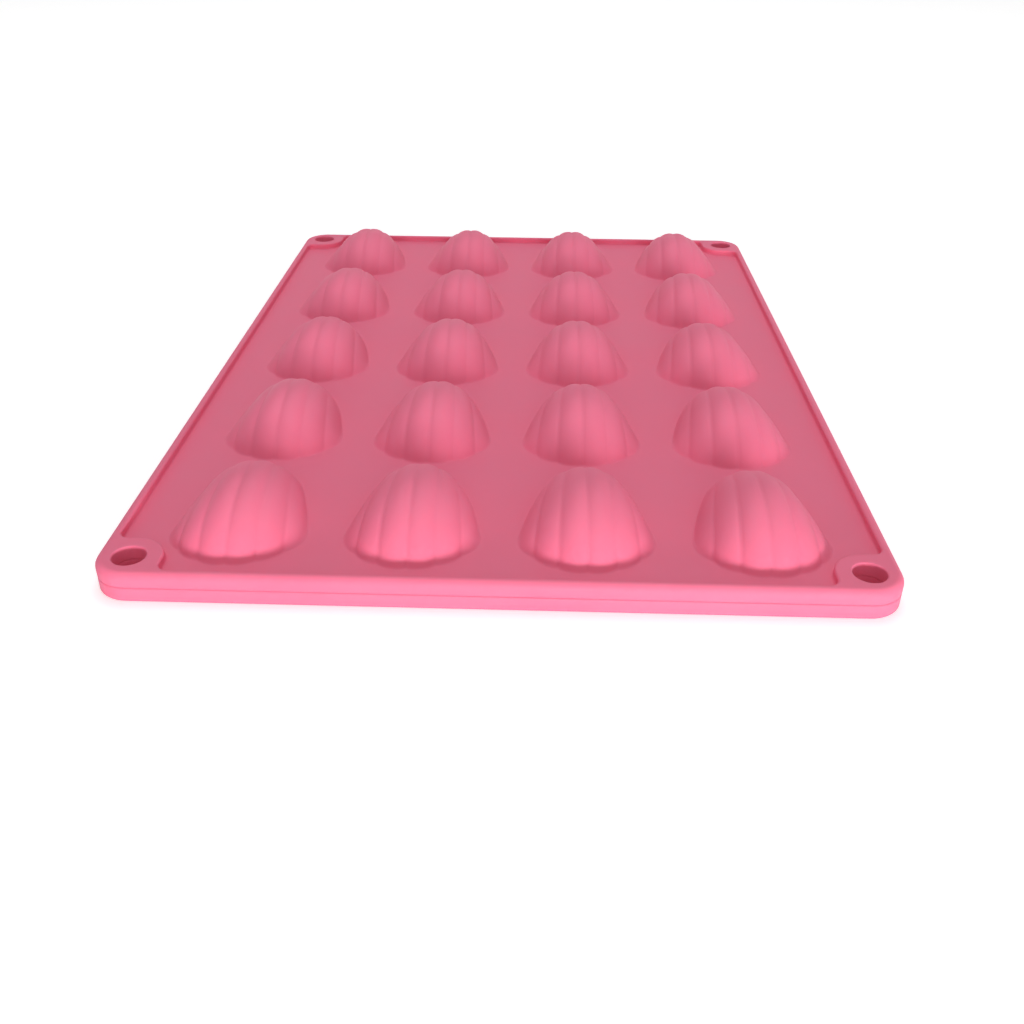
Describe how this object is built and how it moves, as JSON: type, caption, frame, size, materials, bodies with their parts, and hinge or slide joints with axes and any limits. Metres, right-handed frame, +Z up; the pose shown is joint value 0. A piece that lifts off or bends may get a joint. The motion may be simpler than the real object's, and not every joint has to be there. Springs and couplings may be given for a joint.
{
  "type": "madeleine pan",
  "caption": "Two nested silicone madeleine pans with rows of ribbed scallop shells and corner hanging holes, upside down as stored.",
  "frame": {"origin": "centre of the lower pan's underside, on the surface that the stack lies on", "axes": "+X across the columns of shells, +Y along the rows towards the shells' narrow ends, +Z up out of the shells"},
  "size_m": [0.212, 0.3, 0.0185],
  "materials": {
    "silicone": "satin moulded silicone"
  },
  "bodies": {
    "lower_pan": {"lower_sheet": "silicone", "lower_shell_r1_c1": "silicone", "lower_shell_r1_c2": "silicone", "lower_shell_r1_c3": "silicone", "lower_shell_r1_c4": "silicone", "lower_shell_r2_c1": "silicone", "lower_shell_r2_c2": "silicone", "lower_shell_r2_c3": "silicone", "lower_shell_r2_c4": "silicone", "lower_shell_r3_c1": "silicone", "lower_shell_r3_c2": "silicone", "lower_shell_r3_c3": "silicone", "lower_shell_r3_c4": "silicone", "lower_shell_r4_c1": "silicone", "lower_shell_r4_c2": "silicone", "lower_shell_r4_c3": "silicone", "lower_shell_r4_c4": "silicone", "lower_shell_r5_c1": "silicone", "lower_shell_r5_c2": "silicone", "lower_shell_r5_c3": "silicone", "lower_shell_r5_c4": "silicone"},
    "upper_pan": {"upper_sheet": "silicone", "upper_shell_r1_c1": "silicone", "upper_shell_r1_c2": "silicone", "upper_shell_r1_c3": "silicone", "upper_shell_r1_c4": "silicone", "upper_shell_r2_c1": "silicone", "upper_shell_r2_c2": "silicone", "upper_shell_r2_c3": "silicone", "upper_shell_r2_c4": "silicone", "upper_shell_r3_c1": "silicone", "upper_shell_r3_c2": "silicone", "upper_shell_r3_c3": "silicone", "upper_shell_r3_c4": "silicone", "upper_shell_r4_c1": "silicone", "upper_shell_r4_c2": "silicone", "upper_shell_r4_c3": "silicone", "upper_shell_r4_c4": "silicone", "upper_shell_r5_c1": "silicone", "upper_shell_r5_c2": "silicone", "upper_shell_r5_c3": "silicone", "upper_shell_r5_c4": "silicone"}
  },
  "joints": [
    {"name": "upper_pan_lift", "type": "slide", "parent": "lower_pan", "child": "upper_pan", "axis": [0, 0, 1], "range_m": [0, 0.04]}
  ]
}
